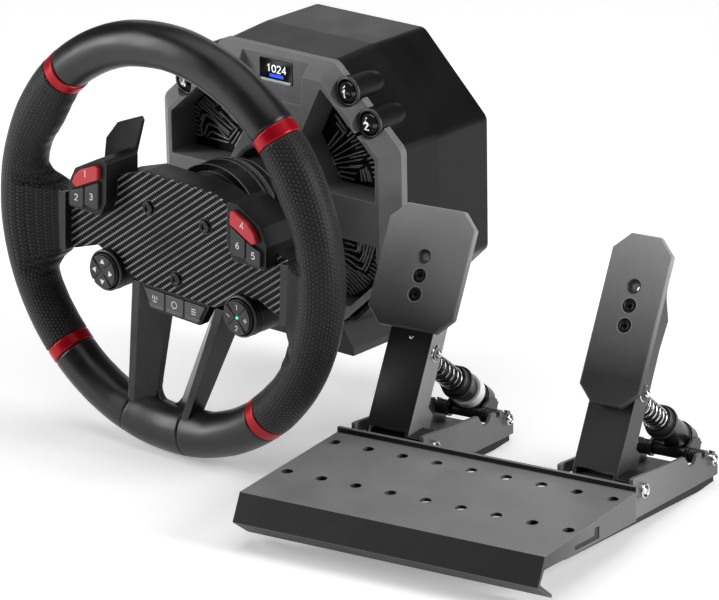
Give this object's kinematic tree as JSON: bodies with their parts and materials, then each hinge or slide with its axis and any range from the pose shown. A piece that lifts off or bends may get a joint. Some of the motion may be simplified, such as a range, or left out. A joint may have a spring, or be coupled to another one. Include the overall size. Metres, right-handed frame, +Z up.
{
  "type": "racing wheel",
  "caption": "Direct-drive racing wheel: octagonal wheelbase, leather rim with button hub and shift paddles, and a sprung pedal set on a heel plate.",
  "frame": {"origin": "centre of the square of threaded holes in the wheelbase foot, on the foot's underside", "axes": "+X to the driver's right, +Y away from the driver along the steering shaft, +Z up"},
  "size_m": [0.5145, 0.3133, 0.3002],
  "materials": {
    "shell_plastic": "satin black moulding",
    "bezel_plastic": "fine-textured dark grey moulding",
    "grille_plastic": "black panel with thin light lines",
    "display_glass": "smoked gloss window",
    "button_gloss": "glossy black domes",
    "foot_plastic": "black textured moulding",
    "motor_alloy": "cast motor case",
    "motor_steel": "laminated and ground steel",
    "bearing_steel": "ground bearing rings",
    "circuit_board": "lacquered circuit board",
    "shaft_coating": "black coated steel",
    "collar_plastic": "black ribbed collar",
    "carbon_weave": "dark woven-carbon pattern",
    "hub_plastic": "black textured moulding",
    "spoke_paint": "satin dark grey paint",
    "core_steel": "plain steel core",
    "smooth_leather": "smooth black leather",
    "perforated_leather": "perforated black leather",
    "red_band": "metallic red trim",
    "black_screw": "black coated socket screws",
    "switch_plastic": "black fine-textured moulding",
    "red_plastic": "matte red moulding",
    "key_plastic": "dark grey moulding",
    "pin_steel": "polished steel pins",
    "paddle_paint": "satin black paint",
    "plate_powder": "fine-grained dark grey powder coat",
    "pedal_powder": "fine-grained near-black powder coat",
    "foot_rubber": "black rubber strip",
    "strut_plastic": "black moulded spring seat",
    "spring_chrome": "bright spring wire",
    "spring_dark": "grey spring wire",
    "elastomer_white": "white elastomer ring"
  },
  "bodies": {
    "base": {"front_bezel": "bezel_plastic", "rear_shell": "shell_plastic", "vent_grilles": "grille_plastic", "display_lens": "display_glass", "rear_cap": "foot_plastic", "base_foot": "foot_plastic", "motor_housing": "motor_alloy", "motor_stator": "motor_steel", "shaft_bearings": "bearing_steel", "control_board": "circuit_board", "heel_plate": "plate_powder", "pedal_rails": "pedal_powder", "rail_feet": "foot_rubber", "pedal_bolts": "black_screw", "pedal_sensors": "strut_plastic"},
    "wheel": {"wheel_shaft": "shaft_coating", "motor_rotor": "motor_steel", "quick_release": "collar_plastic", "hub_housing": "hub_plastic", "hub_plate": "carbon_weave", "spoke_frame": "spoke_paint", "rim_core": "core_steel", "smooth_grips": "smooth_leather", "side_grips": "perforated_leather", "rim_bands": "red_band", "hub_bolts": "black_screw", "switch_boxes": "switch_plastic", "thumb_pods": "switch_plastic", "wheel_board": "circuit_board", "paddle_pins": "pin_steel"},
    "paddle_left": {"paddle_left": "paddle_paint"},
    "trigger_button_left": {"trigger_button_left": "red_plastic"},
    "key_outer_left": {"key_outer_left": "key_plastic"},
    "key_inner_left": {"key_inner_left": "key_plastic"},
    "thumb_gimbal_left": {"thumb_gimbal_left": "pin_steel"},
    "thumb_pad_left": {"thumb_pad_left": "key_plastic"},
    "base_button_left_upper": {"base_button_left_upper": "button_gloss"},
    "base_button_left_lower": {"base_button_left_lower": "button_gloss"},
    "paddle_right": {"paddle_right": "paddle_paint"},
    "trigger_button_right": {"trigger_button_right": "red_plastic"},
    "key_outer_right": {"key_outer_right": "key_plastic"},
    "key_inner_right": {"key_inner_right": "key_plastic"},
    "thumb_gimbal_right": {"thumb_gimbal_right": "pin_steel"},
    "thumb_pad_right": {"thumb_pad_right": "key_plastic"},
    "base_button_right_upper": {"base_button_right_upper": "button_gloss"},
    "base_button_right_lower": {"base_button_right_lower": "button_gloss"},
    "centre_key_left": {"centre_key_left": "key_plastic"},
    "centre_key_middle": {"centre_key_middle": "key_plastic"},
    "centre_key_right": {"centre_key_right": "key_plastic"},
    "brake_pedal": {"brake_arm": "pedal_powder", "brake_pad": "pedal_powder"},
    "brake_strut_seat": {"brake_seat": "strut_plastic", "brake_spring": "spring_dark", "elastomer_ring": "elastomer_white"},
    "brake_strut_rod": {"brake_rod": "pin_steel"},
    "throttle_pedal": {"throttle_arm": "pedal_powder", "throttle_pad": "pedal_powder"},
    "throttle_strut_seat": {"throttle_seat": "strut_plastic", "throttle_spring": "spring_chrome"},
    "throttle_strut_rod": {"throttle_rod": "pin_steel"}
  },
  "joints": [
    {"name": "steering", "type": "hinge", "parent": "base", "child": "wheel", "pos_m": [0, -0.1617, 0.102], "axis": [0, 1, 0], "range_deg": [-543, 537]},
    {"name": "paddle_left_pull", "type": "hinge", "parent": "wheel", "child": "paddle_left", "pos_m": [-0.04972, -0.1265, 0.10861], "axis": [0.0523, 0, 0.9986], "range_deg": [0, 3.4], "stiffness_Nm_per_rad": 4, "springref_deg": -2.86},
    {"name": "trigger_button_left_press", "type": "slide", "parent": "wheel", "child": "trigger_button_left", "axis": [0, 1, 0], "range_m": [0, 0.0012], "stiffness_N_per_m": 400, "springref_m": -0.001},
    {"name": "key_outer_left_press", "type": "slide", "parent": "wheel", "child": "key_outer_left", "axis": [0, 1, 0], "range_m": [0, 0.001], "stiffness_N_per_m": 400, "springref_m": -0.001},
    {"name": "key_inner_left_press", "type": "slide", "parent": "wheel", "child": "key_inner_left", "axis": [0, 1, 0], "range_m": [0, 0.001], "stiffness_N_per_m": 400, "springref_m": -0.001},
    {"name": "thumb_left_up_down", "type": "hinge", "parent": "wheel", "child": "thumb_gimbal_left", "pos_m": [-0.06293, -0.15, 0.06674], "axis": [0.9986, 0, -0.0523], "range_deg": [-4, 4], "stiffness_Nm_per_rad": 0.2},
    {"name": "thumb_left_left_right", "type": "hinge", "parent": "thumb_gimbal_left", "child": "thumb_pad_left", "pos_m": [-0.06293, -0.15, 0.06674], "axis": [0.0523, 0, 0.9986], "range_deg": [-4, 4], "stiffness_Nm_per_rad": 0.2},
    {"name": "base_button_left_upper_press", "type": "slide", "parent": "base", "child": "base_button_left_upper", "axis": [0, 1, 0], "range_m": [0, 0.0015], "stiffness_N_per_m": 400, "springref_m": -0.001},
    {"name": "base_button_left_lower_press", "type": "slide", "parent": "base", "child": "base_button_left_lower", "axis": [0, 1, 0], "range_m": [0, 0.0015], "stiffness_N_per_m": 400, "springref_m": -0.001},
    {"name": "paddle_right_pull", "type": "hinge", "parent": "wheel", "child": "paddle_right", "pos_m": [0.05014, -0.1265, 0.10338], "axis": [-0.0523, 0, -0.9986], "range_deg": [0, 3.4], "stiffness_Nm_per_rad": 4, "springref_deg": -2.86},
    {"name": "trigger_button_right_press", "type": "slide", "parent": "wheel", "child": "trigger_button_right", "axis": [0, 1, 0], "range_m": [0, 0.0012], "stiffness_N_per_m": 400, "springref_m": -0.001},
    {"name": "key_outer_right_press", "type": "slide", "parent": "wheel", "child": "key_outer_right", "axis": [0, 1, 0], "range_m": [0, 0.001], "stiffness_N_per_m": 400, "springref_m": -0.001},
    {"name": "key_inner_right_press", "type": "slide", "parent": "wheel", "child": "key_inner_right", "axis": [0, 1, 0], "range_m": [0, 0.001], "stiffness_N_per_m": 400, "springref_m": -0.001},
    {"name": "thumb_right_up_down", "type": "hinge", "parent": "wheel", "child": "thumb_gimbal_right", "pos_m": [0.0589, -0.15, 0.06036], "axis": [0.9986, 0, -0.0523], "range_deg": [-4, 4], "stiffness_Nm_per_rad": 0.2},
    {"name": "thumb_right_left_right", "type": "hinge", "parent": "thumb_gimbal_right", "child": "thumb_pad_right", "pos_m": [0.0589, -0.15, 0.06036], "axis": [0.0523, 0, 0.9986], "range_deg": [-4, 4], "stiffness_Nm_per_rad": 0.2},
    {"name": "base_button_right_upper_press", "type": "slide", "parent": "base", "child": "base_button_right_upper", "axis": [0, 1, 0], "range_m": [0, 0.0015], "stiffness_N_per_m": 400, "springref_m": -0.001},
    {"name": "base_button_right_lower_press", "type": "slide", "parent": "base", "child": "base_button_right_lower", "axis": [0, 1, 0], "range_m": [0, 0.0015], "stiffness_N_per_m": 400, "springref_m": -0.001},
    {"name": "centre_key_left_press", "type": "slide", "parent": "wheel", "child": "centre_key_left", "axis": [0, 1, 0], "range_m": [0, 0.0008], "stiffness_N_per_m": 400, "springref_m": -0.001},
    {"name": "centre_key_middle_press", "type": "slide", "parent": "wheel", "child": "centre_key_middle", "axis": [0, 1, 0], "range_m": [0, 0.0008], "stiffness_N_per_m": 400, "springref_m": -0.001},
    {"name": "centre_key_right_press", "type": "slide", "parent": "wheel", "child": "centre_key_right", "axis": [0, 1, 0], "range_m": [0, 0.0008], "stiffness_N_per_m": 400, "springref_m": -0.001},
    {"name": "brake_press", "type": "hinge", "parent": "base", "child": "brake_pedal", "pos_m": [0.15454, -0.11718, -0.0162], "axis": [-0.9863, -0.165, 0], "range_deg": [0, 8], "stiffness_Nm_per_rad": 90, "springref_deg": -4.58},
    {"name": "brake_seat_turn", "type": "hinge", "parent": "base", "child": "brake_strut_seat", "pos_m": [0.1382, -0.01954, -0.0295], "axis": [-0.9863, -0.165, 0], "range_deg": [0, 0.429]},
    {"name": "brake_rod_slide", "type": "slide", "parent": "brake_strut_seat", "child": "brake_strut_rod", "axis": [-0.1323, 0.7908, -0.5976], "range_m": [0, 0.00852], "deforming": ["brake_spring"]},
    {"name": "throttle_press", "type": "hinge", "parent": "base", "child": "throttle_pedal", "pos_m": [0.30683, -0.0917, -0.0162], "axis": [-0.9863, -0.165, 0], "range_deg": [0, 16], "stiffness_Nm_per_rad": 25, "springref_deg": -4.58},
    {"name": "throttle_seat_turn", "type": "hinge", "parent": "base", "child": "throttle_strut_seat", "pos_m": [0.29048, 0.00595, -0.0295], "axis": [-0.9863, -0.165, 0], "range_deg": [0, 0.22]},
    {"name": "throttle_rod_slide", "type": "slide", "parent": "throttle_strut_seat", "child": "throttle_strut_rod", "axis": [-0.1323, 0.7908, -0.5976], "range_m": [0, 0.01719], "deforming": ["throttle_spring"]}
  ],
  "couplings": [
    {"joint": "brake_seat_turn", "follows": "brake_press", "ratio": 0.05133},
    {"joint": "brake_rod_slide", "follows": "brake_press", "m_per_rad": 0.060268},
    {"joint": "throttle_seat_turn", "follows": "throttle_press", "ratio": 0.01286},
    {"joint": "throttle_rod_slide", "follows": "throttle_press", "m_per_rad": 0.060888}
  ]
}
